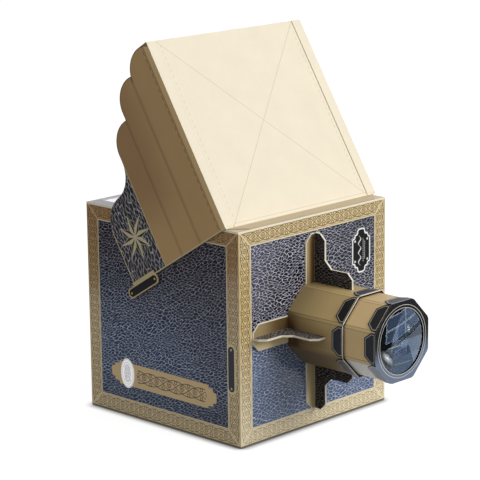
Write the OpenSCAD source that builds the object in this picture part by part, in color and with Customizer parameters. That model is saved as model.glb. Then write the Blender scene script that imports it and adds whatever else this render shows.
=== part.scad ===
// Table camera obscura built up from printed and folded card.
// A lens in an octagonal focusing tube throws the view on a mirror set at 45 degrees.
// The mirror turns it up to a white screen in the top of the box, under a hinged hood.
// Millimetres, +Z up, the lens looks along -Y, the origin is the middle of the underside.

/* [Box] */
// Width of the box from side to side
box_w = 160; // [146:1:200]
// Depth of the box from front to back
box_d = 160; // [146:1:200]
// Height of the box with its top frame
box_h = 160; // [146:1:200]
// Thickness of the box panels
panel_t = 1.5; // [1:0.1:2.5]
// Height of the folded glue flaps inside the box
flap_w = 12; // [8:1:16]
// Thickness of the folded glue flaps
flap_t = 0.6; // [0.4:0.1:1]
// Width of the printed border, where the brackets stop
border_w = 12.3; // [8:0.1:16]

/* [Top] */
// Thickness of the frame that closes the top
top_t = 1.5; // [1:0.1:2.5]
// Width of the top frame at the sides
rim_w = 12; // [10:0.5:20]
// Width of the top frame at the back
rim_back_w = 2; // [1.8:0.1:12]
// Thickness of the focusing screen
screen_t = 1; // [0.5:0.1:2]
// Lap of the screen under the frame at the sides and in front
screen_lap = 5; // [2:0.5:6]
// Gap between the screen and the back panel
screen_fit = 0.1; // [0.05:0.05:0.2]

/* [Mirror] */
// Thickness of the mirror sheet
mirror_t = 2; // [1:0.1:3]
// Thickness of the board behind the mirror
mirror_board_t = 1.5; // [1:0.1:3]
// Gap between the mirror board and the nearest panel, measured upright
mirror_end_gap = 6; // [4:0.5:12]
// Bare margin of the board around the mirror
mirror_margin = 8; // [2:0.5:20]
// Gap between the mirror board and the side flaps
mirror_side_gap = 0.4; // [0.2:0.1:1]
// Width of each leg of the angle strips that carry the board
rail_leg = 10; // [6:0.5:14]

/* [Hood] */
// Angle of the open lid above the level top
open_angle = 58.4; // [30:0.1:85]
// Setback of the hinge fold from the front of the box
hinge_setback = 11.8; // [8:0.1:20]
// Thickness of the lid
lid_t = 1.2; // [0.8:0.1:2]
// Gap between the shut lid and the top frame
lid_gap = 0.4; // [0.3:0.05:0.8]
// Gap around the round fold of the lid
fold_gap = 0.1; // [0.05:0.01:0.15]
// Inset of the hinge strip from the front and the sides of the top
strip_inset = 0.5; // [0.3:0.1:2]
// Thickness of the side wings
wing_t = 1; // [0.6:0.1:2]
// Gap between a wing and the side of the box
wing_gap = 0.7; // [0.4:0.1:1.5]
// Width of the wing flange on the lid
flange_w = 8; // [4:0.5:15]
// Thickness of the wing flange on the lid
flange_t = 0.5; // [0.3:0.1:1]
// Start of the wing flange above the hinge fold
flange_start = 1; // [0.6:0.1:4]

/* [Wing outline] */
// Radius of the three scallops
scallop_r = 19; // [12:0.5:20]
// Depth of the first crease below the lid
crease_1 = 29.4; // [24:0.1:34]
// Depth of the second crease below the lid
crease_2 = 51.5; // [46:0.1:56]
// Depth of the third crease below the lid
crease_3 = 72.5; // [68:0.1:78]
// Setback of the second scallop behind the first
scallop_step_1 = 13.6; // [8:0.1:18]
// Setback of the third scallop behind the second
scallop_step_2 = 25.1; // [18:0.1:28]
// Length of the leaf below the third crease
leaf_l = 64; // [50:0.5:70]
// Depth of the leaf's free edge below the lid
leaf_depth = 112; // [100:0.5:124]
// Radius of the leaf's round corner
leaf_r = 21.8; // [10:0.1:26]
// Radius of the hollow between the leaf and the third scallop
neck_r = 20.6; // [8:0.1:22]

/* [Wing tab] */
// Length of the finger tab along the wing's front edge
tab_plate_l = 36; // [30:0.1:44]
// Width of the finger tab
tab_plate_w = 7.8; // [6.6:0.1:10]
// Thickness of the finger tab
tab_plate_t = 0.8; // [0.4:0.1:1.5]
// Corner radius of the finger tab
tab_plate_r = 3.2; // [1:0.1:3.2]
// Depth of the middle of the tab below the lid
tab_plate_depth = 102.6; // [96:0.1:106]
// Overhang of the tab past the wing's front edge
tab_overhang = 7; // [5:0.1:8]
// Lap of the tab on the wing
tab_lap = 3.2; // [2:0.1:6]
// Length of that lap, up to the free edge of the wing's leaf
tab_lap_l = 26; // [18:0.5:27]

/* [Lens tube] */
// Drop of the lens axis below the middle of the box
axis_drop = 0.7; // [0:0.1:4]
// Half the width across flats of the inner tube
inner_flat = 28.6; // [27.6:0.1:34]
// Thickness of the tube walls, collars and bracket flanges
card_t = 0.8; // [0.5:0.1:1.2]
// Gap between the inner and the outer tube
slide_gap = 0.4; // [0.3:0.05:0.8]
// Width of the narrow strip along each tube corner
corner_strip = 2.5; // [1:0.1:5]
// Length of the inner tube
inner_tube_l = 80; // [60:1:90]
// Distance of the outer collar's face from the front of the box
collar_out = 54.4; // [48:0.1:60]
// Distance of the lens face from the front of the box in the photographed focus
lens_out = 84; // [76:0.1:110]
// Width of the glue flange of the outer tube inside the box
tube_flange_w = 8; // [4:0.5:12]
// Gap around the outer tube in the front panel
tube_fit = 0.1; // [0.05:0.05:0.3]

/* [Collars] */
// Length of the folded tabs of the two collars
tab_l = 10.5; // [6:0.1:14]
// Width of a tab at its fold
tab_w = 22.6; // [16:0.1:23]
// Width of a tab at its free end
tab_end_w = 13.5; // [8:0.1:16]
// Length of a tab's straight sides next to the fold
tab_straight = 4.5; // [1:0.1:5.5]

/* [Brackets] */
// Width of a bracket's flange on the front panel
bracket_flange_w = 20.4; // [14:0.1:24]
// Chamfer of the flange's tip
bracket_tip = 6; // [2:0.1:6.5]
// Thickness of a bracket's fin, two layers of card
fin_t = 1.6; // [0.8:0.1:2.4]
// Length of the fin along the tube
fin_l = 37.3; // [32:0.1:42]
// Width of the fin along the front panel
fin_face_w = 10.8; // [7:0.1:12]
// Width of the fin along the tube
fin_tube_w = 11.8; // [7:0.1:14]
// Chamfer of the fin's two ends
fin_tip = 4.6; // [2:0.1:6]
// Fill of the fin's inner corner
fin_fill = 6.2; // [2:0.1:10]

/* [Lens] */
// Diameter of the lens
lens_d = 50; // [40:0.5:50]
// Focal length of the lens
lens_f = 220; // [150:5:400]
// Thickness of the lens at its edge
lens_edge = 2.5; // [1.5:0.1:4]
// Width of the ledges that hold the lens in front and behind
lens_ledge = 0.75; // [0.4:0.05:2]
// Gap around the lens in its holder
lens_fit = 0.15; // [0.1:0.05:0.3]

/* [Hidden] */
$fn = 96;
front_y = -box_d / 2;
axis_z = box_h / 2 - axis_drop;
wall_h = box_h - top_t;
inner_x = box_w / 2 - panel_t;
inner_y = box_d / 2 - panel_t;
screen_z = wall_h - screen_t;

hinge_y = front_y + hinge_setback;
hinge_z = box_h + lid_gap + lid_t / 2;
lid_l = box_d - hinge_setback;
wing_x = box_w / 2 + wing_gap;
hood_top = lid_t / 2 + flange_t;
creases = [crease_1, crease_2, crease_3];
scallop_ends = [lid_l, lid_l - scallop_step_1, lid_l - scallop_step_1 - scallop_step_2];

window_w = box_w - 2 * rim_w;
window_back = box_d / 2 - rim_back_w;
screen_back = min(window_back + screen_lap, inner_y - screen_fit);

mirror_rise = min(axis_z - panel_t, screen_z - axis_z, inner_y) - mirror_end_gap;
board_l = 2 * mirror_rise * sqrt(2);
board_x = inner_x - flap_t - mirror_side_gap;
rail_rise = mirror_rise - flap_w - rail_leg / sqrt(2);
rail_l = 2 * rail_rise * sqrt(2);

outer_bore = inner_flat + slide_gap;
outer_flat = outer_bore + card_t;
inner_bore = inner_flat - card_t;
bracket_reach = min(box_w / 2, axis_z, box_h - axis_z) - border_w;
fin_top = outer_flat + fin_tube_w;

glass_index = 1.52;
lens_arc_steps = 1440;
lens_curve = 2 * (glass_index - 1) * lens_f;
lens_sag = lens_curve - sqrt(lens_curve * lens_curve - lens_d * lens_d / 4);
lens_hole = lens_d - 2 * lens_ledge;
holder_t = lens_edge + 2 * lens_fit;
holder_out = lens_out - card_t - holder_t;

gold = "#b39a62";
leather = "#3a3f58";
cream = "#f2e8d2";
dark = "#23242e";
tan_card = "#7d6648";
black_card = "#1b1b1d";

// Places its children on the lens axis, with local z pointing out of the front
module on_axis(out) {
    translate([0, front_y - out, axis_z])
        rotate([90, 0, 0])
            children();
}

// Places its children on the hinge fold: y runs up the lid, z out of its face
module on_hood() {
    translate([0, hinge_y, hinge_z])
        rotate([open_angle, 0, 0])
            children();
}

// Places its children on the mirror's slope: y runs up the slope, z out of its face
module on_slope() {
    translate([0, 0, axis_z])
        rotate([45, 0, 0])
            children();
}

// Octagon with a flat on top, its corners cut by narrow strips
module octagon(flat) {
    corner = flat / cos(22.5);
    strip_flat = corner - corner_strip / 2 / tan(67.5);
    intersection() {
        rotate(22.5)
            circle(r = corner, $fn = 8);
        circle(r = strip_flat / cos(22.5), $fn = 8);
    }
}

// Octagonal tube wall between two half widths
module octagon_tube(outer, inner, length) {
    linear_extrude(length)
        difference() {
            octagon(outer);
            octagon(inner);
        }
}

module rounded_rect(w, h, r) {
    square([w - 2 * r, h], center = true);
    square([w, h - 2 * r], center = true);
    for (x = [-1, 1], y = [-1, 1])
        translate([x * (w / 2 - r), y * (h / 2 - r)])
            circle(r);
}

// Wall along the front or back of the box, mitred at both ends
module end_wall() {
    linear_extrude(wall_h)
        polygon([
            [-box_w / 2, -box_d / 2], [box_w / 2, -box_d / 2],
            [inner_x, -inner_y], [-inner_x, -inner_y]
        ]);
}

// Upright glue flaps that turn back from an end wall along the side panels
module end_flaps() {
    for (side = [0, 1])
        mirror([side, 0, 0])
            translate([inner_x - flap_t, -inner_y - panel_t / 2, panel_t])
                cube([flap_t, flap_w + panel_t / 2, screen_z - panel_t]);
}

module side_wall() {
    linear_extrude(wall_h)
        polygon([
            [-box_w / 2, -box_d / 2], [-inner_x, -inner_y],
            [-inner_x, inner_y], [-box_w / 2, box_d / 2]
        ]);
}

module bottom_panel() {
    flap_x = inner_x - flap_w;
    flap_y = inner_y - flap_w;
    color(tan_card) {
        translate([-inner_x, -inner_y, 0])
            cube([2 * inner_x, 2 * inner_y, panel_t]);
        for (side = [0, 1])
            mirror([side, 0, 0])
                translate([inner_x - flap_t, -flap_y, 0])
                    cube([flap_t, 2 * flap_y, panel_t + flap_w]);
        for (side = [0, 1])
            mirror([0, side, 0])
                translate([-flap_x, inner_y - flap_t, 0])
                    cube([2 * flap_x, flap_t, panel_t + flap_w]);
    }
}

module front_panel() {
    color(leather) {
        difference() {
            end_wall();
            on_axis(-2 * panel_t)
                linear_extrude(3 * panel_t)
                    octagon(outer_flat + tube_fit);
        }
        end_flaps();
    }
}

module back_panel() {
    color(leather)
        mirror([0, 1, 0]) {
            end_wall();
            end_flaps();
        }
}

module left_panel() {
    color(leather)
        side_wall();
}

module right_panel() {
    color(leather)
        mirror([1, 0, 0])
            side_wall();
}

module top_frame() {
    color(cream)
        translate([0, 0, wall_h])
            linear_extrude(top_t)
                difference() {
                    square([box_w, box_d], center = true);
                    translate([-window_w / 2, hinge_y])
                        square([window_w, window_back - hinge_y]);
                }
}

// White plate glued under the frame
module focusing_screen() {
    half = window_w / 2 + screen_lap;
    front = hinge_y - screen_lap;
    color("white")
        translate([-half, front, screen_z])
            cube([2 * half, screen_back - front, screen_t]);
}

module mirror_board() {
    color(black_card)
        on_slope()
            translate([-board_x, -board_l / 2, -mirror_t - mirror_board_t])
                cube([2 * board_x, board_l, mirror_board_t]);
}

module mirror_sheet() {
    color("silver")
        on_slope()
            translate([mirror_margin - board_x, mirror_margin - board_l / 2, -mirror_t])
                cube([2 * (board_x - mirror_margin), board_l - 2 * mirror_margin, mirror_t]);
}

// Angle strip glued to a side panel and under the mirror board
module mirror_rail() {
    color(black_card)
        on_slope()
            translate([0, -rail_l / 2, -mirror_t - mirror_board_t]) {
                translate([inner_x - flap_t, 0, -rail_leg])
                    cube([flap_t, rail_l, rail_leg]);
                translate([inner_x - rail_leg, 0, -flap_t])
                    cube([rail_leg, rail_l, flap_t]);
            }
}

module mirror_rail_left() {
    mirror([1, 0, 0])
        mirror_rail();
}

module mirror_rail_right() {
    mirror_rail();
}

module outer_tube() {
    back = panel_t + flap_t;
    color(gold) {
        on_axis(-back)
            octagon_tube(outer_flat, outer_bore, back + collar_out - card_t);
        on_axis(-back)
            octagon_tube(outer_flat + tube_flange_w, outer_bore, flap_t);
    }
}

// Eight tabs folded back from a collar's face onto the tube's flats
module collar_tabs(flat) {
    for (k = [0:7])
        rotate(45 * k)
            translate([0, flat + card_t, 0])
                rotate([90, 0, 0])
                    linear_extrude(card_t)
                        polygon([
                            [-tab_w / 2, -card_t], [-tab_w / 2, -tab_straight],
                            [-tab_end_w / 2, -tab_l], [tab_end_w / 2, -tab_l],
                            [tab_w / 2, -tab_straight], [tab_w / 2, -card_t]
                        ]);
}

module outer_collar() {
    color(dark) {
        on_axis(collar_out - card_t)
            octagon_tube(outer_flat + card_t, outer_bore, card_t);
        on_axis(collar_out)
            collar_tabs(outer_flat);
    }
}

// T section that stiffens the tube: a flange on the front panel and an L shaped fin
module bracket(turn) {
    half = bracket_flange_w / 2;
    on_axis(0)
        rotate(turn) {
            color(gold)
                linear_extrude(card_t)
                    polygon([
                        [-half, outer_flat], [half, outer_flat],
                        [half, bracket_reach - bracket_tip],
                        [half - bracket_tip, bracket_reach],
                        [bracket_tip - half, bracket_reach],
                        [-half, bracket_reach - bracket_tip]
                    ]);
            color(leather)
                translate([-fin_t / 2, 0, 0])
                    rotate([90, 0, 90])
                        linear_extrude(fin_t)
                            polygon([
                                [outer_flat, 0], [bracket_reach, 0],
                                [bracket_reach, fin_face_w - fin_tip],
                                [bracket_reach - fin_tip, fin_face_w],
                                [fin_top + fin_fill, fin_face_w],
                                [fin_top, fin_face_w + fin_fill],
                                [fin_top, fin_l - fin_tip],
                                [fin_top - fin_tip, fin_l],
                                [outer_flat, fin_l]
                            ]);
        }
}

module bracket_top() {
    bracket(0);
}

module bracket_left() {
    bracket(90);
}

module bracket_bottom() {
    bracket(180);
}

module bracket_right() {
    bracket(270);
}

// Glue strip in front of the hood's fold, hollowed to take the fold
module hinge_strip() {
    rear = box_w / 2 - strip_inset;
    depth = hinge_setback - strip_inset;
    color(cream)
        difference() {
            translate([0, 0, box_h])
                linear_extrude(hinge_z - box_h)
                    polygon([
                        [-rear, hinge_y], [rear, hinge_y],
                        [rear - depth, hinge_y - depth], [depth - rear, hinge_y - depth]
                    ]);
            translate([-box_w, hinge_y, hinge_z])
                rotate([0, 90, 0])
                    cylinder(r = lid_t / 2 + fold_gap, h = 2 * box_w);
        }
}

module hood_lid() {
    color(cream)
        on_hood() {
            translate([-wing_x, 0, -lid_t / 2])
                cube([2 * wing_x, lid_l, lid_t]);
            translate([-wing_x, 0, 0])
                rotate([0, 90, 0])
                    cylinder(d = lid_t, h = 2 * wing_x);
        }
}

// Three rounded steps along the wing's rear edge, each ending at a crease
module scallops() {
    for (i = [0:2]) {
        square([scallop_ends[i] - scallop_r, creases[i]]);
        translate([scallop_ends[i] - scallop_r, creases[i] - scallop_r])
            circle(scallop_r);
    }
    square([lid_l, crease_1 - scallop_r]);
}

// Flat outline of a wing: x runs up the lid from the hinge, y down from the lid
module wing_outline() {
    intersection() {
        scallops();
        square([lid_l, crease_3]);
    }
    difference() {
        square([leaf_l + neck_r, crease_3 + neck_r]);
        translate([leaf_l + neck_r, crease_3 + neck_r])
            circle(neck_r);
    }
    square([leaf_l - leaf_r, leaf_depth]);
    translate([leaf_l - leaf_r, leaf_depth - leaf_r])
        circle(leaf_r);
}

// Side wing with its flange on the lid's face
module hood_wing() {
    on_hood() {
        color(tan_card)
            translate([wing_x, 0, hood_top])
                rotate([90, 0, 90])
                    linear_extrude(wing_t)
                        mirror([0, 1])
                            wing_outline();
        color(cream)
            translate([wing_x - flange_w, flange_start, lid_t / 2])
                cube([flange_w, lid_l - flange_start, flange_t]);
    }
}

module hood_wing_left() {
    mirror([1, 0, 0])
        hood_wing();
}

module hood_wing_right() {
    hood_wing();
}

// Finger tab past a wing's front edge, with a lap glued on the outside of the wing
module wing_tab() {
    middle = tab_plate_w / 2 - tab_overhang;
    color(dark)
        on_hood()
            translate([wing_x + wing_t, 0, hood_top])
                rotate([90, 0, 90])
                    linear_extrude(tab_plate_t) {
                        translate([middle, -tab_plate_depth])
                            rounded_rect(tab_plate_w, tab_plate_l, tab_plate_r);
                        translate([middle, -leaf_depth])
                            square([tab_lap - middle, tab_lap_l]);
                    }
}

module wing_tab_left() {
    mirror([1, 0, 0])
        wing_tab();
}

module wing_tab_right() {
    wing_tab();
}

module inner_tube() {
    color(gold)
        on_axis(lens_out - card_t - inner_tube_l)
            octagon_tube(inner_flat, inner_bore, inner_tube_l);
}

module lens_collar() {
    color(dark) {
        on_axis(lens_out - card_t)
            linear_extrude(card_t)
                difference() {
                    octagon(inner_flat + card_t);
                    circle(d = lens_hole);
                }
        on_axis(lens_out)
            collar_tabs(inner_flat);
    }
}

module lens_holder() {
    color(black_card)
        on_axis(holder_out)
            linear_extrude(holder_t)
                difference() {
                    octagon(inner_bore);
                    circle(d = lens_d + 2 * lens_fit);
                }
}

// Biconvex glass, turned from a profile of two shallow arcs
module lens() {
    color("lightsteelblue")
        on_axis(holder_out + lens_fit)
            rotate_extrude()
                intersection() {
                    translate([0, -lens_sag])
                        square([lens_d / 2, lens_edge + 2 * lens_sag]);
                    translate([0, lens_curve - lens_sag])
                        circle(lens_curve, $fn = lens_arc_steps);
                    translate([0, lens_edge + lens_sag - lens_curve])
                        circle(lens_curve, $fn = lens_arc_steps);
                }
}

module lens_back_ring() {
    color(black_card)
        on_axis(holder_out - card_t)
            linear_extrude(card_t)
                difference() {
                    octagon(inner_bore);
                    circle(d = lens_hole);
                }
}

bottom_panel();
front_panel();
back_panel();
left_panel();
right_panel();
top_frame();
focusing_screen();
mirror_board();
mirror_sheet();
mirror_rail_left();
mirror_rail_right();
outer_tube();
outer_collar();
bracket_top();
bracket_left();
bracket_bottom();
bracket_right();
hinge_strip();
hood_lid();
hood_wing_left();
hood_wing_right();
wing_tab_left();
wing_tab_right();
inner_tube();
lens_collar();
lens_holder();
lens();
lens_back_ring();
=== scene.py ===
import math

import bpy
from mathutils import Matrix, Vector


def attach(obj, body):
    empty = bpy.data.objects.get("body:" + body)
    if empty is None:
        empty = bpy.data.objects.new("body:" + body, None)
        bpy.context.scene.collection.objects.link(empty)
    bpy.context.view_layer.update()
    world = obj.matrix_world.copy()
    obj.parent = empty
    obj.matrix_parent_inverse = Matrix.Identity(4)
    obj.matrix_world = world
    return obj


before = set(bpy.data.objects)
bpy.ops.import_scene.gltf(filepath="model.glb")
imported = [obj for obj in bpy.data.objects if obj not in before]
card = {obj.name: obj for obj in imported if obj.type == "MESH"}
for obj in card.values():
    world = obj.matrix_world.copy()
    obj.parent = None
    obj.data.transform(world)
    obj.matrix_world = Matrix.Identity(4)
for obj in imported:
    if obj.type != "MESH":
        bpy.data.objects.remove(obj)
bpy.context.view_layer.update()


# Camera: it stands to the left of the lens and a little above the box, with a long lens.
# The picture is square, so the lens is given for a 36 mm wide sensor.
aim, distance = Vector((0.003949, 0, 0.127646)), 1.612855
swing, climb, lean = (math.radians(turn) for turn in (-45.781, 13.12, -0.713))
sensor, focal_pixels, picture_pixels = 36, 2116.036, 480
away = Vector((math.sin(swing) * math.cos(climb), -math.cos(swing) * math.cos(climb), math.sin(climb)))
level = Vector((math.cos(swing), math.sin(swing), 0))
upright = away.cross(level)
side = math.cos(lean) * level + math.sin(lean) * upright
top = math.cos(lean) * upright - math.sin(lean) * level
bpy.ops.object.select_all(action="DESELECT")
bpy.ops.object.camera_add()
camera = bpy.context.object
turned = Matrix((side, top, away)).transposed().to_4x4()
camera.matrix_world = Matrix.Translation(aim + distance * away) @ turned
camera.data.sensor_width = sensor
camera.data.lens = sensor * focal_pixels / picture_pixels
camera.data.clip_start = 0.05
camera.data.clip_end = 60
bpy.context.scene.camera = camera


# Studio: a white sheet on the floor, lit by a large soft lamp from the front right and by a pale room.
# Dark cards lie beyond the sheet, and a low window with bright cards on the right, for the lens to mirror.
# A Reading is a value measured on a surface: prints and finishes are reckoned from readings by plain sums.
class Reading:
    def __init__(self, socket):
        self.socket = socket

    def __add__(self, other):
        return reckon("ADD", self, other)

    def __sub__(self, other):
        return reckon("SUBTRACT", self, other)

    def __rsub__(self, other):
        return reckon("SUBTRACT", other, self)

    def __mul__(self, other):
        return reckon("MULTIPLY", self, other)

    def __truediv__(self, other):
        return reckon("DIVIDE", self, other)

    def __rtruediv__(self, other):
        return reckon("DIVIDE", other, self)

    def __mod__(self, other):
        return reckon("FLOORED_MODULO", self, other)

    def __gt__(self, other):
        return reckon("GREATER_THAN", self, other)

    def __lt__(self, other):
        return reckon("LESS_THAN", self, other)

    def __abs__(self):
        return reckon("ABSOLUTE", self)


def feed(value, socket):
    if isinstance(value, Reading):
        socket.id_data.links.new(value.socket, socket)
    else:
        socket.default_value = value


def add_node(kind, inputs, tree=None, **settings):
    if tree is None:
        tree = next(value.socket.id_data for value in inputs.values() if isinstance(value, Reading))
    step = tree.nodes.new("ShaderNode" + kind)
    for title, setting in settings.items():
        setattr(step, title, setting)
    for title, value in inputs.items():
        feed(value, step.inputs[title])
    return step.outputs


def reckon(how, *values):
    return Reading(add_node("Math", dict(enumerate(values)), operation=how)[0])


def larger(first, *others):
    for other in others:
        first = reckon("MAXIMUM", first, other)
    return first


def spread(value, low, high, start=0.0):
    limits = {"Value": value, "From Min": start, "To Min": low, "To Max": high}
    return Reading(add_node("MapRange", limits)["Result"])


def finish(name, shine):
    made = bpy.data.materials.new(name)
    made.use_nodes = True
    shader = made.node_tree.nodes["Principled BSDF"].inputs
    feed(shine, shader["Specular IOR Level"])
    return made, shader


def to_the_eye(tree):
    rays = add_node("LightPath", {}, tree)
    return larger(*(Reading(rays[ray]) for ray in ("Is Camera Ray", "Is Glossy Ray", "Is Transmission Ray")))


room = bpy.data.worlds.new("pale_room")
room.use_nodes = True
bpy.context.scene.world = room
sky = room.node_tree.nodes["Background"].inputs
feed((1, 1, 1, 1), sky["Color"])
feed(spread(to_the_eye(room.node_tree), 0.48, 1.0), sky["Strength"])

bpy.ops.object.select_all(action="DESELECT")
bpy.ops.mesh.primitive_plane_add(size=40, location=(0, 0, -0.0006))
floor = bpy.context.object
floor.name = "floor"
sweep, shader = finish("white_sweep", shine=0)
feed((0.25, 0.25, 0.25, 1), shader["Base Color"])
feed(0.9, shader["Roughness"])
# The floor's white emission is dimmed by ambient occlusion close to the box: a painted contact shadow.
contact_shade = Reading(add_node("AmbientOcclusion", {"Distance": 0.008}, sweep.node_tree)["AO"])
feed(spread(contact_shade, 0.05, 1.0, start=0.45), shader["Emission Color"])
feed(spread(to_the_eye(sweep.node_tree), 0.0, 0.9), shader["Emission Strength"])
floor.data.materials.append(sweep)

bpy.ops.object.select_all(action="DESELECT")
bpy.ops.object.light_add(type="AREA", location=(0.97, -2.27, 1.73))
key_lamp = bpy.context.object
key_lamp.name = "key_lamp"
key_lamp.data.shape = "SQUARE"
key_lamp.data.size = 1.8
key_lamp.data.energy = 56
key_lamp.visible_camera = False
key_lamp.rotation_euler = (Vector((0, 0, 0.12)) - key_lamp.location).to_track_quat("-Z", "Y").to_euler()


def glow(piece, colour, strength):
    light, shader = finish(piece.name + "_light", shine=0)
    feed((0, 0, 0, 1), shader["Base Color"])
    feed((*colour, 1), shader["Emission Color"])
    feed(strength, shader["Emission Strength"])
    piece.data.materials.append(light)
    piece.visible_camera = False
    piece.visible_diffuse = False
    piece.visible_shadow = False
    return light, shader


def glow_card(name, middle, size, turn, colour, strength, corners=4):
    bpy.ops.object.select_all(action="DESELECT")
    bpy.ops.mesh.primitive_circle_add(vertices=corners, radius=0.5, fill_type="NGON")
    spot = bpy.context.object
    spot.name = name
    spot.rotation_euler = (0, 0, math.pi / 4)
    bpy.ops.object.transform_apply(location=False, rotation=True, scale=False)
    spot.dimensions = (*size, 0)
    spot.rotation_euler = (0, 0, math.radians(turn))
    spot.location = middle
    return glow(spot, colour, strength)


glow_card("front_card", (0.9, -1.348, 0.0002), (2, 2), turn=0, colour=(1, 1, 1), strength=0.08)
glow_card("side_card", (-0.81, 1.21, 0.0002), (2, 2), turn=25, colour=(1, 1, 1), strength=0.08)

bpy.ops.object.select_all(action="DESELECT")
bpy.ops.mesh.primitive_grid_add(x_subdivisions=3, y_subdivisions=2, size=1, rotation=(math.pi / 2, 0, 0))
panes = bpy.context.object
panes.name = "window_panes"
panes.dimensions = (0.31, 0.0565, 0)
panes.location = (0.325, -0.385, 0.02725)
bpy.ops.object.transform_apply(location=True, rotation=True, scale=True)
bpy.ops.object.duplicate()
bars = bpy.context.object
bars.name = "window_bars"
bars.modifiers.new("bars", "WIREFRAME").thickness = 0.0045
bpy.ops.object.modifier_apply(modifier="bars")
bpy.ops.transform.translate(value=(0, 0.004, 0))
glow(panes, (0.55, 0.66, 0.92), strength=0.95)
glow(bars, (1.0, 0.98, 0.96), strength=2.6)

glow_card("blue_card", (0.141, -0.273, 0.0004), (0.127, 0.052), turn=132, colour=(0.66, 0.8, 1),
          strength=0.85)
glow_card("pale_card", (0.198, -0.262, 0.0003), (0.16, 0.1), turn=132, colour=(0.8, 0.88, 1), strength=2.2)
glow_card("card_bar", (0.1245, -0.261, 0.0006), (0.046, 0.005), turn=28, colour=(0.8, 0.9, 1), strength=1.8)
sun, shader = glow_card("window_sun", (0.118, -0.308, 0.0006), (0.1, 0.026), turn=112, colour=(1, 0.88, 0.76),
                        strength=5.0, corners=32)
spot = Reading(add_node("TexCoord", {}, sun.node_tree)["Object"])
spot = Reading(add_node("Mapping", {"Vector": spot, "Scale": (2, 2, 2)})["Vector"])
soft_edge = Reading(add_node("TexGradient", {"Vector": spot}, gradient_type="QUADRATIC_SPHERE")["Fac"])
feed(spread(soft_edge, 0.5, 12.0), shader["Emission Strength"])
glow_card("window_sill_light", (0.178, -0.337, 0.0006), (0.056, 0.008), turn=25, colour=(1, 0.9, 0.8),
          strength=3.0)


# Box: four card panels with mitred corners, printed with grained leather inside a gold border.
# The print runs on round the corners, and the inside of the card is black.
def tint(red, green, blue):
    parts = [value / 255 for value in (red, green, blue)]
    return (*[p / 12.92 if p <= 0.04045 else ((p + 0.055) / 1.055) ** 2.4 for p in parts], 1.0)


def smaller(first, *others):
    for other in others:
        first = reckon("MINIMUM", first, other)
    return first


def hypot(across, up):
    return reckon("SQRT", across * across + up * up)


# One where the value has reached full, nothing where it has reached none, and smooth between them.
def below(value, full, none):
    limits = {"Value": value, "From Min": full, "From Max": none, "To Min": 1, "To Max": 0}
    return Reading(add_node("MapRange", limits, interpolation_type="SMOOTHSTEP")["Result"])


def near(value, middle, full, none):
    return below(abs(value - middle), full, none)


def lay(mask, under, over):
    return Reading(add_node("Mix", {0: mask, 6: under, 7: over}, data_type="RGBA")[2])


def cloud(where, size, detail):
    puffs = add_node("TexNoise", {"Vector": where, "Scale": 1 / size, "Detail": detail})
    return Reading(puffs["Fac"]), Reading(puffs["Color"])


def scaled(vector, factor):
    return Reading(add_node("VectorMath", {0: vector, "Scale": factor}, operation="SCALE")[0])


def flat(across, up):
    return Reading(add_node("CombineXYZ", {0: across, 1: up})[0])


def split(vector):
    return [Reading(part) for part in add_node("SeparateXYZ", {0: vector})]


def pattern(name, takes, gives):
    group = bpy.data.node_groups.new(name, "ShaderNodeTree")
    kinds = dict.fromkeys(("Color", "Sheet", "Ground", "Sheen", "Dull", "Vein"), "Color")
    kinds["Where"] = "Vector"
    for way, titles in (("INPUT", takes), ("OUTPUT", gives)):
        for title in titles.split():
            kind = "NodeSocket" + kinds.get(title, "Float")
            group.interface.new_socket(title, in_out=way, socket_type=kind)
    given = {socket.name: Reading(socket) for socket in group.nodes.new("NodeGroupInput").outputs}
    return group, given, group.nodes.new("NodeGroupOutput").inputs


def place(group, **values):
    return {socket.name: Reading(socket) for socket in add_node("Group", values, node_tree=group)}


def measure(made, start=(0, 0, 0), tilt=0.0):
    spot = Reading(add_node("TexCoord", {}, made.node_tree)["Object"])
    millimetres = (0.001, 0.001, 0.001)
    rule = {"Vector": spot, "Location": start, "Rotation": (tilt, 0, 0), "Scale": millimetres}
    where = Reading(add_node("Mapping", rule, vector_type="TEXTURE")["Vector"])
    return where, *split(where)


def facing(made, direction, both_ways=False, limit=0.6):
    normal = Reading(add_node("TexCoord", {}, made.node_tree)["Normal"])
    turned = Reading(add_node("VectorMath", {0: normal, 1: direction}, operation="DOT_PRODUCT")["Value"])
    return (abs(turned) if both_ways else turned) > limit


def surface(shader, colour, roughness, height, depth):
    feed(colour, shader["Base Color"])
    feed(roughness, shader["Roughness"])
    bump = add_node("Bump", {"Strength": 0.6, "Distance": depth, "Height": height})
    feed(Reading(bump["Normal"]), shader["Normal"])


def varnish(shader, weight, index=1.9):
    feed(weight, shader["Coat Weight"])
    feed(0.12, shader["Coat Roughness"])
    feed(index, shader["Coat IOR"])


def dress(made, *names):
    for name in names:
        for slot in card[name].material_slots:
            slot.material = made


# Card: a fine fibre, and slow changes of tone.
card_fibre, given, made = pattern("card_fibre", "Where Sheet", "Color Height")
fine, _ = cloud(given["Where"], size=0.7, detail=3)
slow, _ = cloud(given["Where"], size=22, detail=2)
feed(scaled(given["Sheet"], spread(fine, -0.07, 0.07) + spread(slow, 0.95, 1.05)), made["Color"])
feed(fine, made["Height"])


def paper(where, tone):
    return place(card_fibre, Where=where, Sheet=tone)


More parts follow.
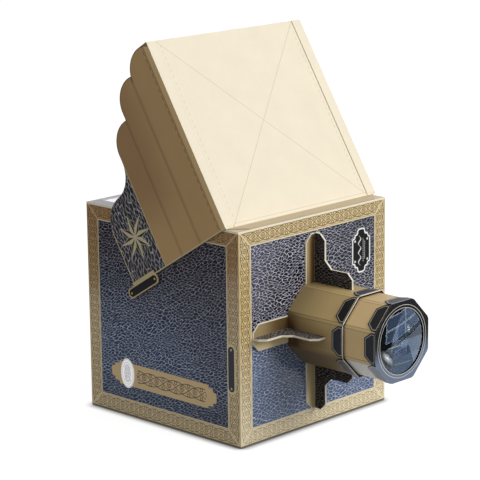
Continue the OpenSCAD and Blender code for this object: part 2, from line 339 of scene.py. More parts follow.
# Leather: large and small cells drawn out along two slanting directions, long creases and lit patches.
leather_print, given, made = pattern(
    "leather_print", "Where Grain Ground Sheen Dull Vein Lift Fade", "Color Height")
drift = scaled(given["Where"], 1.0 / given["Grain"])
for size, reach in ((10.0, 5.0), (2.4, 0.9)):
    _, swirl = cloud(drift, size, detail=1)
    bent = {0: swirl, 1: (reach, reach, 0), 2: drift}
    drift = Reading(add_node("VectorMath", bent, operation="MULTIPLY_ADD")[0])
across, up, _ = split(drift)
slant_across, slant_up = across * 0.37, up * 0.95
falling, rising = slant_across + slant_up, slant_across - slant_up
diamond = flat(falling, rising)
crease = 0.0
for run, gap, size in ((falling, 4.0, 6.0), (rising, 5.0, 8.0)):
    fold = abs(reckon("FRACT", run / gap) - 0.5) * gap
    seen, _ = cloud(drift, size, detail=2)
    crease = larger(crease, below(fold, 0.15, 0.7) * below(seen, 0.65, 0.4))
vein, walls = 0.0, []
for fineness, strong, weak in ((1.0, 1.5, 0.6), (0.42, 0.4, 0.0)):
    cells = add_node("TexVoronoi", {"Vector": diamond, "Scale": fineness, "Randomness": 0.66},
                     voronoi_dimensions="2D", feature="DISTANCE_TO_EDGE")
    walls.append(Reading(cells["Distance"]))
    faded, _ = cloud(drift, size=0.7 / fineness, detail=1)
    share = (below(faded, 0.64, 0.4) * (strong - weak) + weak) * (crease * 0.6 + 0.8)
    vein = larger(vein, below(walls[-1], 0.02 * fineness, 0.1 * fineness) * share)
# Lift and the lit patches are a painted sheen: where they are high, the ground turns to the bluer Sheen tone
# and the veins to the Vein tone, and Fade weakens the veins.
patch, _ = cloud(given["Where"], size=40, detail=3)
lit = larger(smaller(spread(patch, -0.15, 0.15) + given["Lift"], 1.0), 0.0)
vein = vein * (1.0 - given["Fade"] * lit)
skin, crest = lay(lit, given["Ground"], given["Sheen"]), lay(lit, given["Dull"], given["Vein"])
feed(lay(vein, skin, crest), made["Color"])
feed(smaller(walls[0], 0.25), made["Height"])

# Scroll: two stems that cross, a curl in each loop, buds beside each crossing and a wavy line at both edges.
scroll_ink, given, made = pattern("scroll_ink", "Along Across Repeat Reach Line", "Ink")
along, across = given["Along"], given["Across"]
repeat, reach, line = given["Repeat"], given["Reach"], given["Line"]
full_turn = 2 * math.pi
swell, half, quarter = reach * 0.62, repeat * 0.5, repeat * 0.25
phase = along / repeat * full_turn
wave, sway = reckon("SINE", phase) * swell, reckon("COSINE", phase)
steep = sway * (swell / repeat * full_turn)
stem = smaller(abs(across - wave), abs(across + wave)) / reckon("SQRT", steep * steep + 1.0)
eye = along % half - quarter
radius, pitch = hypot(eye, across), swell * 0.42
curl = radius / pitch - reckon("ARCTAN2", across, eye) / full_turn
curl = abs(reckon("FRACT", curl) - 0.5) * pitch + (radius > swell * 0.78) * 100
leaf, rise = (along + quarter) % half - quarter, abs(across) - reach * 0.66
bud = abs(hypot(leaf, rise) - reach * 0.24)
vine = abs(abs(across) - (abs(sway) * 0.2 + 0.72) * reach)
stroke = smaller(stem, curl, bud, vine)
feed(below(stroke, line * 0.5, line) * below(abs(across), reach, reach + 0.3), made["Ink"])

# Border: a band of scroll along all four edges, mitred at the corners, with hairlines and a worn rim.
half_side, half_rise, border, diagonal = 80.0, 80.2, 12.3, 0.707
border_print, given, made = pattern("border_print", "Along Up", "Border Ink Line Wear")
along, up = given["Along"], given["Up"]
from_side, from_end = half_side - abs(along), half_rise - abs(up - half_rise)
inward = smaller(from_side, from_end)
run = (up - along) * (from_side < from_end) + along
mitre = abs(from_side - from_end) * diagonal
framed = below(inward, border - 0.1, border + 0.1)
ink = place(scroll_ink, Along=run, Across=inward - border / 2, Repeat=20.0, Reach=4.7, Line=0.42)["Ink"]
hair = smaller(abs(inward - 0.7), abs(inward - (border - 0.9)))
ink = larger(ink * below(mitre, 0.9, 0.6), below(hair, 0.08, 0.26) * 0.7)
feed(framed, made["Border"])
feed(ink * framed, made["Ink"])
feed(larger(near(inward, border, 0.2, 0.42), below(mitre, 0.12, 0.36) * framed * 0.7), made["Line"])
feed(below(inward, 0.1, 0.5), made["Wear"])

# Badge: a dark bar with round ends, a thin rim and a dot near each end.
badge_half, badge_round, badge_dot = 17.0, 3.0, 2.4
badge_print, given, made = pattern("badge_print", "Along Across", "Plate Rim Dots Clear")
along, across = abs(given["Along"]), given["Across"]
ring = hypot(larger(along - (badge_half - badge_round), 0), across) - badge_round
feed(below(ring, -0.15, 0.15), made["Plate"])
feed(near(ring, -0.5, 0.3, 0.55), made["Rim"])
feed(below(hypot(along - (badge_half - badge_dot), across), 0.75, 1.05), made["Dots"])
feed(below(ring, 1.6, 2.0), made["Clear"])


def print_badge(badge, colour, *tones):
    for part, tone in zip(("Plate", "Rim", "Dots"), tones):
        colour = lay(badge[part], colour, tone)
    return colour


# shaded_gold is the gold of the side borders towards the top, darker and warmer: painted shade.
gold, shaded_gold = tint(228, 205, 150), tint(196, 157, 114)
gold_ink, pale = tint(124, 95, 50), tint(246, 232, 196)
leather_dark, front_vein, side_sheen = tint(12, 12, 17), tint(238, 240, 255), tint(38, 58, 96)
front_look = {"grain": 2.45, "dull": tint(226, 226, 246), "vein": front_vein, "sheen": tint(75, 99, 136),
              "lit_below": (50, 95), "weaker": 0.2, "gloss": 0.2}
side_look = {"grain": 2.4, "dull": tint(176, 171, 188), "vein": tint(226, 239, 255), "sheen": side_sheen,
             "lit_below": (45, 135), "weaker": 0.0, "gloss": 0.06}
side_lean, border_gloss, badge_rise, badge_back = 0.3, 0.42, 57.6, -71.3


def panel_finish(name, outward, grain, dull, vein, sheen, lit_below, weaker, gloss):
    panel, shader = finish(name, shine=0.1)
    where, x, y, z = measure(panel)
    front, badged = outward[1] < 0, outward[0] != 0
    # The leather's painted sheen is painted in below the heights in lit_below, and on the sides it is halved
    # towards the front edge.
    along, top_tone, lit = (y, shaded_gold, below(y, 10.0, -75.0) * 0.5 + 0.5) if badged else (x, gold, 1.0)
    skin = place(leather_print, Where=flat(along, along * (-side_lean * outward[0]) + z), Grain=grain,
                 Lift=below(z, *lit_below) * lit, Fade=weaker,
                 Ground=leather_dark, Sheen=sheen, Dull=dull, Vein=vein)
    frame_print = place(border_print, Along=along, Up=z)
    edge = frame_print["Border"]
    field = 1.0 - edge
    # Low on the front the gold is paled and its ink thinned, a painted reflection of the floor; on the sides
    # the gold darkens towards the top, painted shade.
    floor_sheen = below(z, 10.0, 70.0) if front else 0.0
    gold_as_lit = lay(floor_sheen, lay(below(z, 60.0, 150.0), top_tone, gold), tint(254, 238, 196))
    gilt, lining = paper(where, gold_as_lit), paper(where, tint(26, 26, 28))
    ink = frame_print["Ink"] * (1.0 - floor_sheen * 0.38)
    if badged:
        badge = place(badge_print, Along=z - badge_rise, Across=y - badge_back)
        ink = ink * (1.0 - badge["Clear"])
    colour = lay(edge, skin["Color"], lay(ink, gilt["Color"], gold_ink))
    colour = lay(frame_print["Line"], colour, pale)
    if front:
        # Painted light on the front: a shadow under the tube, shade over the upper right of the leather and a
        # pale highlight over its upper left.
        under_tube = below(hypot(x + 1.0, z - 70.0), 28.0, 42.0)
        upper_right = below(x, 60.0, 0.0) * below(z, 130.0, 85.0) * field
        upper_left = below(x, -70.0, -25.0) * below(z, 110.0, 85.0) * field
        colour = lay(under_tube * 0.18, colour, tint(20, 19, 22))
        colour = lay(upper_right * 0.4, colour, leather_dark)
        colour = lay(upper_left * 0.13, colour, tint(190, 190, 216))
    else:
        # Painted shade: the leather of these panels darkens near the floor.
        colour = lay(below(z, 15.0, 36.0) * field * 0.3, colour, leather_dark)
    scuffs, _ = cloud(where, size=6, detail=3)
    colour = lay(frame_print["Wear"] * below(scuffs, 0.7, 0.45), colour, pale)
    # Painted contact shadow: a dark brown line along the foot of every panel.
    colour = lay(below(z, 0.7, 1.4) * 0.8, colour, tint(60, 45, 30))
    shiny = edge * (border_gloss - gloss) + gloss
    if badged:
        colour = print_badge(badge, colour, tint(34, 38, 58), tint(18, 18, 24), tint(206, 196, 172))
        shiny = shiny * (1.0 - badge["Plate"] * 0.7)
    outer = facing(panel, outward)
    roughness = (1.0 - outer) * 0.4 + edge * 0.06 + spread(scuffs, 0.34, 0.46)
    height = gilt["Height"] * 0.08 + skin["Height"] * field
    surface(shader, lay(outer, lining["Color"], colour), roughness, height, depth=0.0004)
    varnish(shader, outer * shiny)
    return panel


dress(panel_finish("front_print", (0, -1, 0), **front_look), "front_panel")
dress(panel_finish("back_print", (0, 1, 0), **side_look), "back_panel")
dress(panel_finish("left_print", (-1, 0, 0), **side_look), "left_panel")
dress(panel_finish("right_print", (1, 0, 0), **side_look), "right_panel")


# Side plaque: a gilt paper label with stepped ends, pasted low on the left side.
# A running scroll is printed along it, and a white oval with a printed sprig is pasted over its rear end.
def pick(piece, kind, wanted):
    bpy.ops.mesh.select_mode(type=kind)
    bpy.ops.mesh.select_all(action="DESELECT")
    bpy.ops.object.mode_set(mode="OBJECT")
    corners = piece.data.vertices
    for part in {"VERT": corners, "EDGE": piece.data.edges, "FACE": piece.data.polygons}[kind]:
        ends = [part] if kind == "VERT" else [corners[index] for index in part.vertices]
        part.select = wanted(sum((end.co for end in ends), Vector()) / len(ends))
    bpy.ops.object.mode_set(mode="EDIT")


def stepped_label(name, steps, rounding, end_rounding):
    bpy.ops.object.select_all(action="DESELECT")
    bpy.ops.mesh.primitive_plane_add(size=2)
    label = bpy.context.object
    label.name = name
    label.scale = (*steps[0], 1)
    bpy.ops.object.transform_apply(location=False, rotation=False, scale=True)
    bpy.ops.object.mode_set(mode="EDIT")
    for half_width, _ in steps[1:]:
        for hand in (-1, 1):
            bpy.ops.mesh.select_all(action="SELECT")
            bpy.ops.mesh.bisect(plane_co=(hand * half_width, 0, 0), plane_no=(1, 0, 0))
    for (_, start), (half_width, end) in zip(steps, steps[1:]):
        for hand in (-1, 1):
            pick(label, "EDGE",
                 lambda middle: abs(middle.y - hand * start) < 1e-5 and abs(middle.x) < half_width)
            bpy.ops.mesh.extrude_edges_move(TRANSFORM_OT_translate={"value": (0, hand * (end - start), 0)})
    bpy.ops.mesh.select_all(action="SELECT")
    bpy.ops.mesh.remove_doubles(threshold=0.00001)
    bpy.ops.mesh.dissolve_limited(angle_limit=0.01)
    pick(label, "VERT", lambda spot: abs(spot.y) > steps[-1][1] - 1e-5)
    bpy.ops.mesh.bevel(offset=end_rounding, offset_type="OFFSET", affect="VERTICES", segments=6)
    pick(label, "VERT", lambda spot: abs(spot.y) < steps[-1][1] - end_rounding - 1e-5)
    bpy.ops.mesh.bevel(offset=rounding, offset_type="OFFSET", affect="VERTICES", segments=4)
    bpy.ops.mesh.normals_make_consistent(inside=False)
    bpy.ops.object.mode_set(mode="OBJECT")
    return label


def paste(piece, thickness, spin, spot):
    sheet = piece.modifiers.new("paper", "SOLIDIFY")
    sheet.thickness = thickness
    sheet.offset = 1
    piece.rotation_euler = spin
    piece.location = spot
    bpy.ops.object.select_all(action="DESELECT")
    piece.select_set(True)
    bpy.context.view_layer.objects.active = piece
    bpy.ops.object.modifier_apply(modifier="paper")
    bpy.ops.object.transform_apply(location=True, rotation=True, scale=True)


onto_left, onto_front, label_thick = (0, -math.pi / 2, 0), (math.pi / 2, 0, 0), 0.00012
plaque_rise, scroll_middle, scroll_half = 0.0324, -8.5, 35.0
plaque = stepped_label("side_plaque", ((0.009, 0.0475), (0.0068, 0.0524), (0.0041, 0.056)),
                       rounding=0.001, end_rounding=0.0018)
paste(plaque, label_thick, onto_left, (-0.08001, 0, plaque_rise))
gilt_label, shader = finish("gilt_label", shine=0.3)
where, _, y, z = measure(gilt_label, (-0.08, 0, plaque_rise))
gilt = paper(where, tint(226, 196, 142))
scroll = place(scroll_ink, Along=y, Across=z, Repeat=27.0, Reach=5.2, Line=0.44)["Ink"]
taper = near(y, scroll_middle, scroll_half, scroll_half + 3.0) * 5.6
scroll = scroll * below(abs(z) - taper, -0.3, 0.0)
rub, _ = cloud(where, size=8, detail=3)
colour = lay(scroll, gilt["Color"], tint(46, 30, 14))
surface(shader, colour, spread(rub, 0.36, 0.52), gilt["Height"], depth=0.00004)
varnish(shader, weight=0.15)
plaque.data.materials.append(gilt_label)
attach(plaque, "box")

oval_tall, oval_wide, oval_back, oval_rise = 0.0116, 0.0074, 0.0385, 0.033
bpy.ops.object.select_all(action="DESELECT")
bpy.ops.mesh.primitive_circle_add(vertices=64, radius=1, fill_type="NGON")
oval = bpy.context.object
oval.name = "plaque_oval"
oval.scale = (oval_tall, oval_wide, 1)
bpy.ops.object.transform_apply(location=False, rotation=False, scale=True)
bpy.ops.object.mode_set(mode="EDIT")
bpy.ops.mesh.select_all(action="SELECT")
bpy.ops.mesh.inset(thickness=0.0007)
bpy.ops.transform.translate(value=(0, 0, 0.00006))
bpy.ops.mesh.inset(thickness=0.0004)
bpy.ops.object.mode_set(mode="OBJECT")
paste(oval, thickness=0.0001, spin=onto_left, spot=(-0.08014, oval_back, oval_rise))
white_oval, shader = finish("white_oval", shine=0.4)
where, _, y, z = measure(white_oval, (-0.08, oval_back, oval_rise))
white = paper(where, tint(252, 252, 254))
rim = hypot(y / (oval_wide * 1000), z / (oval_tall * 1000))
sprig = place(scroll_ink, Along=z, Across=y, Repeat=12.0, Reach=3.4, Line=0.4)["Ink"] * below(rim, 0.6, 0.66)
drawn = larger(near(rim, 0.74, 0.012, 0.03), sprig) * 0.7
colour = lay(drawn, white["Color"], tint(60, 66, 92))
colour = lay(near(rim, 0.94, 0.03, 0.06), colour, tint(196, 190, 186))
rub, _ = cloud(where, size=5, detail=2)
surface(shader, colour, spread(rub, 0.3, 0.45), white["Height"], depth=0.00003)
# The oval also glows a little: painted light that keeps it white.
feed(colour, shader["Emission Color"])
feed(0.3, shader["Emission Strength"])
varnish(shader, weight=1.0, index=2.4)
oval.data.materials.append(white_oval)
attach(oval, "box")


# Front plate: a black paper cartouche with a white edge and a white dot in each corner.
# It is pasted upright on the leather print, near the right end of the front panel.
def plain_card(name, sheet, smooth, rough, depth=0.00003, shine=0.3, glowing=0.0):
    made, shader = finish(name, shine)
    where, *_ = measure(made)
    fibre = paper(where, sheet)
    surface(shader, fibre["Color"], spread(fibre["Height"], smooth, rough), fibre["Height"], depth)
    if glowing:
        feed(fibre["Color"], shader["Emission Color"])
        feed(glowing, shader["Emission Strength"])
    return made


plate_spot = Vector((0.0523, -0.08, 0.1236))
plate = stepped_label("front_plate", ((0.0103, 0.0102), (0.0076, 0.013), (0.0046, 0.0172)),
                      rounding=0.0012, end_rounding=0.0029)
bpy.ops.object.mode_set(mode="EDIT")
bpy.ops.mesh.select_all(action="SELECT")
bpy.ops.mesh.inset(thickness=0.0012)
bpy.ops.object.mode_set(mode="OBJECT")
paste(plate, label_thick, onto_front, plate_spot - Vector((0, 0.00001, 0)))
black_plate, shader = finish("black_plate", shine=0.12)
where, x, _, z = measure(black_plate, plate_spot)
ground = paper(where, tint(11, 11, 14))
wave_long, wave_wide, wave_left, scroll_end = 7.2, 1.3, 1.8, 11.2
phase = z * (full_turn / wave_long)
ripple = abs(x + wave_left - reckon("SINE", phase) * wave_wide) - reckon("COSINE", phase) * 0.3
drawn = below(ripple, 0.3, 0.7)
beads = reckon("FRACT", z / 1.6) > 0.35
for rule_x, rule_half in ((2.2, 9.0), (3.9, 7.0)):
    drawn = larger(drawn, near(x, rule_x, 0.15, 0.35) * below(abs(z), rule_half, rule_half + 0.2) * beads)
drawn = drawn * below(abs(z), scroll_end, scroll_end + 0.4)
rub, _ = cloud(where, size=4, detail=2)
colour = lay(drawn, ground["Color"], tint(232, 230, 226))
surface(shader, colour, spread(rub, 0.3, 0.5), ground["Height"], depth=0.00003)
white_edge = plain_card("white_edge", tint(252, 251, 248), smooth=0.4, rough=0.6)
plate.data.materials.append(black_plate)
plate.data.materials.append(white_edge)
for face in plate.data.polygons:
    face.material_index = 0 if (face.center - plate_spot).xz.length < 0.002 else 1
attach(plate, "box")

dot_across, dot_up = 0.007, 0.0078
bpy.ops.object.select_all(action="DESELECT")
bpy.ops.mesh.primitive_uv_sphere_add(segments=16, ring_count=8, radius=0.0009)
first_dot = bpy.context.object
first_dot.scale = (1, 0.12, 1)
first_dot.location = plate_spot + Vector((-dot_across, -0.00013, dot_up))
bpy.ops.object.transform_apply(location=True, rotation=True, scale=True)
dots = [first_dot]
for step_x, step_z in ((2 * dot_across, 0), (0, -2 * dot_up), (2 * dot_across, -2 * dot_up)):
    bpy.ops.object.select_all(action="DESELECT")
    first_dot.select_set(True)
    bpy.context.view_layer.objects.active = first_dot
    bpy.ops.object.duplicate()
    bpy.context.object.location = (step_x, 0, step_z)
    bpy.ops.object.transform_apply(location=True, rotation=True, scale=True)
    dots.append(bpy.context.object)
bpy.ops.object.select_all(action="DESELECT")
for dot in dots:
    dot.select_set(True)
bpy.context.view_layer.objects.active = first_dot
bpy.ops.object.join()
plate_dots = bpy.context.object
plate_dots.name = "plate_dots"
bpy.ops.object.shade_smooth()
plate_dots.data.materials.append(white_edge)
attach(plate_dots, "box")


# Bottom, mirror board and its angle strips: plain unprinted card, black inside the box.
# The mirror is a silvered sheet with a faint bloom, glued to the middle of its board.
dress(plain_card("grey_board", tint(112, 100, 84), smooth=0.72, rough=0.88, depth=0.00006, shine=0.2),
      "bottom_panel")
dress(plain_card("black_lining", tint(24, 24, 26), smooth=0.74, rough=0.9, depth=0.00006, shine=0.2),
      "mirror_board", "mirror_rail_left", "mirror_rail_right", "lens_holder", "lens_back_ring")
silver, shader = finish("silvered_sheet", shine=0.5)
where, *_ = measure(silver)
bloom, _ = cloud(where, size=30, detail=4)
feed(lay(bloom, tint(214, 218, 220), tint(236, 238, 238)), shader["Base Color"])
feed(spread(bloom, 0.02, 0.09), shader["Roughness"])
feed(1, shader["Metallic"])
dress(silver, "mirror_sheet")


# Top: a white card frame over the sheet of drawing film that shows the picture.
# The glue strip of the hood lies along its front edge.
# The film glows: painted light that keeps it white in the shade of the hood.
dress(plain_card("drawing_film", tint(243, 241, 247), smooth=0.45, rough=0.65, shine=0.35, glowing=0.6),
      "focusing_screen")

frame_card, shader = finish("frame_card", shine=0.3)
where, x, y, _ = measure(frame_card)
sheet, cut = paper(where, tint(224, 221, 223)), paper(where, tint(255, 246, 222))
front_rim = paper(where, tint(214, 196, 170))
top_tone = lay(below(y, -66.0, -65.0), sheet["Color"], front_rim["Color"])
colour = lay(facing(frame_card, (0, 0, 1), both_ways=True), tint(244, 243, 244), top_tone)
colour = lay(larger(abs(x), abs(y)) > half_side - 0.05, colour, cut["Color"])
surface(shader, colour, spread(sheet["Height"], 0.42, 0.6), sheet["Height"], depth=0.00004)
dress(frame_card, "top_frame")
dress(plain_card("strip_card", tint(198, 180, 147), smooth=0.42, rough=0.58, depth=0.00006), "hinge_strip")


# Outer tube: eight gilt flats creased round the sliding tube, glued in the front panel.
# A black collar with eight folded tabs finishes its mouth, and each tab has a thin pale outline.
axis_height, flat_turn = 0.0793, math.pi / 4

# Octagon: the place across the nearest flat, the distance out along its normal, and the plain radius.
octagon_fold, given, made = pattern("octagon_fold", "Across Up", "Sideways Out Radius")
across, up = given["Across"], given["Up"]
turned = reckon("ROUND", reckon("ARCTAN2", up, across) / flat_turn) * flat_turn
cosine, sine = reckon("COSINE", turned), reckon("SINE", turned)
feed(up * cosine - across * sine, made["Sideways"])
feed(up * sine + across * cosine, made["Out"])
feed(hypot(up, across), made["Radius"])


def tube_finish(name, crease, bore, card_tone, underside_light_tone, low_shade, top_shade):
    tube, shader = finish(name, shine=0.4)
    where, x, y, z = measure(tube, (0, 0, axis_height))
    fold = place(octagon_fold, Across=x, Up=z)
    gilt, underside_light, lining = (paper(where, tone) for tone in (card_tone, underside_light_tone, tint(26, 25, 24)))
    # Painted shade: the gilt darkens towards the panel, on the lower flats and on the top flat; the lowest
    # flats take a tone of their own, painted shade on the outer tube and a painted reflection of the floor on
    # the sliding tube.
    to_mouth, lower_flats, top_flat = below(y, -118.0, -80.0), below(z, -8.0, 14.0), below(z, 28.4, 27.0)
    at_panel = below(y, -80.0, -97.0) * below(abs(z), 11.0, 15.0)
    shade = 0.36 - to_mouth * 0.4 + lower_flats * low_shade + top_flat * top_shade + at_panel * 0.48
    colour = lay(larger(shade, 0), gilt["Color"], tint(80, 57, 28))
    colour = lay(below(z, -16.0, -10.5), colour, underside_light["Color"])
    colour = lay(near(abs(fold["Sideways"]), crease, 0.1, 0.35) * 0.6, colour, tint(92, 74, 40))
    inside = below(fold["Out"], bore + 0.1, bore + 0.2)
    brush, _ = cloud(where, size=14, detail=3)
    roughness = inside * 0.4 + spread(brush, 0.32, 0.46)
    surface(shader, lay(inside, colour, lining["Color"]), roughness, gilt["Height"], depth=0.00004)
    return tube


dress(tube_finish("outer_gilt", crease=11.0, bore=29.0, card_tone=tint(196, 170, 117),
                  underside_light_tone=tint(112, 90, 54), low_shade=0.48, top_shade=0.0), "outer_tube")

# Tab outline: a thin line that keeps the same margin from every edge of a folded tab.
tab_half, tab_end_half, tab_straight, tab_long, tab_margin = 11.3, 6.75, 4.5, 10.5, 1.15
tab_outline, given, made = pattern("tab_outline", "Sideways Behind", "Line")
behind = given["Behind"]
narrowing, drop = tab_half - tab_end_half, tab_long - tab_straight
slant = math.hypot(narrowing, drop)
to_side = tab_half - abs(given["Sideways"])
to_slant = to_side * (drop / slant) + (tab_straight - behind) * (narrowing / slant)
feed(near(smaller(to_side, to_slant, tab_long - behind, behind), tab_margin, 0.12, 0.32), made["Line"])
face_ink = tint(12, 12, 16)


def collar_finish(name, face_y, flat_out, ring_radii, bare_edge, low_face_sheen, low_tab_sheen):
    collar, shader = finish(name, shine=0.1)
    where, x, y, z = measure(collar, (0, face_y, axis_height))
    fold = place(octagon_fold, Across=x, Up=z)
    rings = 0.0 if ring_radii else below(flat_out - fold["Out"], bare_edge, bare_edge + 0.15)
    for ring_radius in ring_radii:
        rings = larger(rings, near(fold["Radius"], ring_radius, 0.06, 0.24))
    front, lower = facing(collar, (0, -1, 0)), facing(collar, (0, 0, -1))
    upper, uppermost = facing(collar, (0, 0, 1)), facing(collar, (0, 0, 1), limit=0.92)
    # Painted sheen on the black ink: the upward tabs are lighter and bluer, and so are the lower part of the
    # front face and the downward tabs, in the tones given for each collar.
    ink_and_sheen_tone = lay(uppermost, lay(upper, tint(21, 25, 38), tint(13, 12, 14)), tint(58, 62, 74))
    face_ink_and_sheen = lay(below(z, -14.0, 2.0), face_ink, low_face_sheen)
    ink = paper(where, lay(lower, lay(front, ink_and_sheen_tone, face_ink_and_sheen), low_tab_sheen))
    pale_line = paper(where, tint(246, 240, 228))
    outline = place(tab_outline, Sideways=fold["Sideways"], Behind=y)["Line"]
    outline = outline * (fold["Out"] > flat_out - 0.9)
    outline = larger(outline * 0.55, below(y, bare_edge - 0.1, bare_edge))
    drawn = front * (rings - outline) + outline
    rub, _ = cloud(where, size=7, detail=3)
    colour = lay(drawn, ink["Color"], pale_line["Color"])
    surface(shader, colour, spread(rub, 0.34, 0.5), ink["Height"], depth=0.00004)
    varnish(shader, (lower * 0.14 + 0.08) * (1.0 - front))
    return collar


dress(collar_finish("outer_collar_print", face_y=-0.1344, flat_out=30.6, ring_radii=(), bare_edge=0.45,
                    low_face_sheen=face_ink, low_tab_sheen=tint(58, 62, 76)), "outer_collar")


# Brackets: four T shaped card pieces that hold the tube square to the front panel.
# The flange is gilt, the upright fin is covered with the leather print, and the cut edges stay white.
flange_half, flange_reach, flange_corner = 10.2, 67.0, 6.0


def bracket_finish(name, fin_faces, shaded, gilt_as_lit, skin_as_lit, vein_as_lit):
    bracket, shader = finish(name, shine=0.15)
    where, x, y, z = measure(bracket, (0, -0.08, axis_height))
    upright_fin = fin_faces[0] == 1
    along_fin, over_fin = (abs(z), abs(x)) if upright_fin else (abs(x), abs(z))
    skin = place(leather_print, Where=flat(y, z) if upright_fin else flat(x, y), Grain=2.2, Lift=0.0,
                 Ground=skin_as_lit, Sheen=skin_as_lit, Dull=vein_as_lit, Vein=vein_as_lit)
    gilt, cut = paper(where, gilt_as_lit), paper(where, tint(240, 230, 210))
    to_side, to_tip = flange_half - over_fin, flange_reach - along_fin
    margin = smaller(to_side, to_tip, (to_side + to_tip - flange_corner) * diagonal)
    # Painted shade: the gilt darkens beside the fin and towards the tube, and on the level brackets over
    # their upper half.
    if upright_fin:
        shade = larger(below(over_fin, 3.0, 9.6) * shaded, below(along_fin, 30.0, 60.0) * 0.4)
    else:
        shade = (z > 0.0) * (below(along_fin, 38.0, 62.0) * 0.27 + shaded)
    gilding = lay(shade, gilt["Color"], tint(92, 68, 36))
    on_flange = y > -0.9
    flange_face = on_flange * facing(bracket, (0, -1, 0))
    fin_face = (1.0 - on_flange) * facing(bracket, fin_faces, both_ways=True)
    colour = lay(flange_face, cut["Color"], lay(below(margin, 0.65, 0.9), gilding, cut["Color"]))
    colour = lay(fin_face, colour, skin["Color"])
    surface(shader, colour, spread(gilt["Height"], 0.36, 0.54), skin["Height"] * fin_face, depth=0.0003)
    return bracket


# The three finishes are lit and shaded copies of one print: the lower and the level brackets have paler gilt,
# and the level ones brighter veins, painted light.
dress(bracket_finish("upright_bracket_print", (1, 0, 0), shaded=0.95, gilt_as_lit=tint(202, 176, 126),
                     skin_as_lit=tint(12, 12, 14), vein_as_lit=tint(140, 133, 130)), "bracket_top")
dress(bracket_finish("lower_bracket_print", (1, 0, 0), shaded=0.45, gilt_as_lit=tint(242, 224, 174),
                     skin_as_lit=tint(14, 13, 14), vein_as_lit=tint(146, 138, 134)), "bracket_bottom")
dress(bracket_finish("level_bracket_print", (0, 0, 1), shaded=0.7, gilt_as_lit=tint(252, 228, 172),
                     skin_as_lit=tint(22, 21, 22), vein_as_lit=tint(196, 188, 182)),
      "bracket_left", "bracket_right")


# Hood lid: one sheet of cream card, folded along the glue strip and lined with black.
# Two faint creases cross its outer face, and thin glue lines run beside the wing flanges.
hinge_line, hood_tilt = (0, -0.0682, 0.161), math.radians(58.4)
lid_face, lid_back = ((0, -hand * math.sin(hood_tilt), hand * math.cos(hood_tilt)) for hand in (1, -1))
lid_long, flange_edge, fold_u, glue_inset = 148.2, 72.7, 2.2, 3.4
cream, cream_line, hood_lining = tint(242, 231, 207), tint(176, 162, 128), tint(40, 37, 34)
cream_lid, shader = finish("cream_lid", shine=0.25)
where, x, u, _ = measure(cream_lid, hinge_line, hood_tilt)
sheet, lining = paper(where, cream), paper(where, hood_lining)
slope = math.hypot(lid_long, 2 * flange_edge)
rise, fall = (u - lid_long / 2) * (2 * flange_edge / slope), abs(x) * (lid_long / slope)
creases = near(abs(rise), fall, 0.1, 0.45) * 0.42
fold_line = near(u, fold_u, 0.1, 0.4) * 0.35
dashes = reckon("FRACT", u / 5.0) > 0.45
glue_line = near(abs(x), flange_edge - glue_inset, 0.1, 0.4) * dashes * 0.4
butt = near(abs(x), flange_edge - 0.2, 0.25, 0.5) * 0.8
drawn = larger(creases, fold_line, glue_line, butt)
colour = lay(drawn, sheet["Color"], cream_line)
colour = lay(u > lid_long - 0.05, colour, tint(168, 166, 158))
inner = facing(cream_lid, lid_back)
roughness = inner * 0.3 + spread(sheet["Height"], 0.42, 0.56)
height = sheet["Height"] * 0.2 - drawn
surface(shader, lay(inner, colour, lining["Color"]), roughness, height, depth=0.00012)
dress(cream_lid, "hood_lid")


# Hood wings: creased card sides with scalloped edges, tan above and leather print on the leaf.
# Each has a folded flange on the lid, pale cut edges and a black lining.
wing_drop, fold_down, dash_down, wing_creases = 1.1, 5.6, 7.0, (29.4, 51.5)
leaf_start, leaf_end = 72.5, 112.0
scallop_round, scallops = 19.0, ((148.2, 29.4, 0.0), (134.6, 51.5, 29.4), (109.5, 72.5, 51.5))


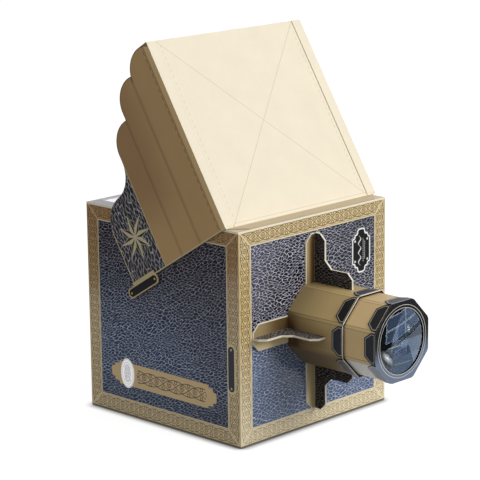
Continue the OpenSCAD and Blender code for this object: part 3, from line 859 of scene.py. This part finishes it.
def wing_finish(name, outward):
    wing, shader = finish(name, shine=0.3)
    where, _, u, out = measure(wing, hinge_line, hood_tilt)
    down = wing_drop - out
    tan = paper(where, lay(below(down, 4.0, 6.5), tint(197, 161, 112), tint(222, 191, 138)))
    sheet, lining, cut = (paper(where, tone) for tone in (cream, hood_lining, tint(216, 200, 162)))
    skin = place(leather_print, Where=flat(u, out), Grain=3.8, Lift=0.0,
                 Ground=tint(9, 8, 11), Sheen=side_sheen, Dull=tint(200, 195, 204), Vein=front_vein)
    dashes = reckon("FRACT", u / 6.0) > 0.4
    folds_and_crease_shade = larger(near(down, fold_down, 0.15, 0.45), near(down, dash_down, 0.15, 0.45) * dashes)
    for crease in wing_creases:
        folds_and_crease_shade = larger(folds_and_crease_shade, near(down, crease, 0.2, 2.2) * 0.42)
    # Painted shade: the tan darkens towards the scallops and the lower edge, and soft dark bands lie along
    # the creases beside the printed fold lines.
    shade_to_scallops = below(down, 58.0, 16.0) * below(u, 62.0, 15.0)
    colour = lay(shade_to_scallops * 0.42, tan["Color"], tint(122, 82, 56))
    colour = lay(folds_and_crease_shade * 0.7, colour, tint(96, 66, 40))
    leaf = below(down, leaf_start + 0.2, leaf_start - 0.2)
    colour = lay(leaf, colour, skin["Color"])
    foot = below(down, leaf_end - 0.6, leaf_end - 0.9) * leaf
    hem = larger(foot, below(u, 0.7, 1.0), near(down, leaf_start, 0.25, 0.5))
    colour = lay(hem, colour, tint(214, 198, 158))
    for end, low, high in scallops:
        reach_u, reach_down = larger(u - (end - scallop_round), 0), down - (low - scallop_round)
        rim = below(hypot(reach_u, reach_down), scallop_round - 0.55, scallop_round - 0.95)
        rim = rim * near(down, (low + high) / 2, (low - high) / 2, (low - high) / 2 + 0.1) * (reach_u > 0)
        colour = lay(rim * 0.7, colour, tint(84, 62, 34))
    outer, inner = facing(wing, outward), facing(wing, (-outward[0], 0, 0))
    on_lid = out > 0.5
    colour = lay(outer, cut["Color"], colour)
    colour = lay(facing(wing, lid_face), colour, sheet["Color"])
    colour = lay(on_lid * (1.0 - outer), colour, sheet["Color"])
    colour = lay(inner * (1.0 - on_lid), colour, lining["Color"])
    height = (skin["Height"] * leaf - folds_and_crease_shade * 0.5) * outer
    surface(shader, colour, spread(tan["Height"], 0.4, 0.56), height, depth=0.0004)
    return wing


dress(wing_finish("left_wing_print", (-1, 0, 0)), "hood_wing_left")
dress(wing_finish("right_wing_print", (1, 0, 0)), "hood_wing_right")


# Wing stars: eight-pointed gilt paper stars, pasted on the leather leaf of each wing.
# One half of every point is printed dark, so that the star looks folded.
star_reach, star_out, star_up, star_down = 0.0177, 0.081705, 0.0316, 90.8
gilt_star = plain_card("gilt_star", tint(216, 204, 170), smooth=0.34, rough=0.5)
star_shade = plain_card("star_shade", tint(52, 42, 34), smooth=0.4, rough=0.56, shine=0.2)
hood_frame = Matrix.Translation(hinge_line) @ Matrix.Rotation(hood_tilt, 4, "X")


def star_turn(spot):
    return math.degrees(math.atan2(spot.y, spot.x))


for name, hand in (("wing_star_left", -1), ("wing_star_right", 1)):
    bpy.ops.object.select_all(action="DESELECT")
    bpy.ops.mesh.primitive_circle_add(vertices=16, radius=star_reach, fill_type="TRIFAN")
    star = bpy.context.object
    star.name = name
    bpy.ops.object.mode_set(mode="EDIT")
    pick(star, "VERT", lambda spot: spot.length > 0.001 and round(star_turn(spot) / 22.5) % 2 == 1)
    bpy.ops.transform.resize(value=(0.4, 0.4, 1), center_override=(0, 0, 0))
    pick(star, "FACE", lambda spot: star_turn(spot) % 45 > 22.5)
    bpy.ops.mesh.inset(thickness=0.0003, use_individual=True)
    bpy.ops.object.mode_set(mode="OBJECT")
    star.data.materials.append(gilt_star)
    star.data.materials.append(star_shade)
    for face in star.data.polygons:
        face.material_index = int(face.select)
    paste(star, thickness=0.00005, spin=(0, 0, 0), spot=(0, 0, 0))
    on_wing = Matrix.Translation((hand * star_out, star_up, (wing_drop - star_down) / 1000))
    star.matrix_world = hood_frame @ on_wing @ Matrix.Rotation(hand * math.pi / 2, 4, "Y")
    bpy.ops.object.transform_apply(location=True, rotation=True, scale=True)
    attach(star, "hood")


# Wing tabs: small gilt plates at the foot of the wings, by which the hood is lifted.
# A black bar with two gilt dots is printed on each, as on the box border where they come to rest.
tab_middle, tab_under = 102.6, 3.1
wing_tab_print, shader = finish("wing_tab_print", shine=0.1)
where, _, u, out = measure(wing_tab_print, hinge_line, hood_tilt)
gilt = paper(where, tint(214, 196, 150))
badge = place(badge_print, Along=wing_drop - out - tab_middle, Across=u + tab_under)
colour = print_badge(badge, gilt["Color"], tint(24, 22, 28), tint(18, 17, 18), tint(202, 176, 118))
surface(shader, colour, spread(gilt["Height"], 0.34, 0.5), gilt["Height"], depth=0.00004)
dress(wing_tab_print, "wing_tab_left", "wing_tab_right")


# Sliding tube: the same gilt card as the outer tube, a shade narrower, with the lens at its mouth.
# Its collar covers the lens holder, and two thin pale rings are printed round the lens.
dress(tube_finish("inner_gilt", crease=10.5, bore=27.8, card_tone=tint(224, 194, 140),
                  underside_light_tone=tint(255, 252, 246), low_shade=0.0, top_shade=0.3), "inner_tube")
# The lens collar's lower face and downward tabs are pale blue: a painted reflection of the floor.
dress(collar_finish("lens_collar_print", face_y=-0.164, flat_out=29.4, ring_radii=(24.45, 26.6),
                    bare_edge=0.1, low_face_sheen=tint(118, 130, 152), low_tab_sheen=tint(112, 126, 150)), "lens_collar")


# Lens: a two-sided convex glass, 50 mm across, loose in its holder behind the collar.
# It is polished clear, with a trace of dust and a cold blue tone.
glass, shader = finish("lens_glass", shine=0.5)
where, *_ = measure(glass)
dust, _ = cloud(where, size=5, detail=4)
feed(lay(dust, tint(206, 222, 246), tint(226, 236, 252)), shader["Base Color"])
feed(below(dust, 0.7, 0.4) * 0.014, shader["Roughness"])
feed(1, shader["Transmission Weight"])
feed(1.8, shader["IOR"])
feed((0.58, 0.76, 1, 1), shader["Specular Tint"])
dress(glass, "lens")


bpy.context.scene.view_settings.view_transform = "Standard"
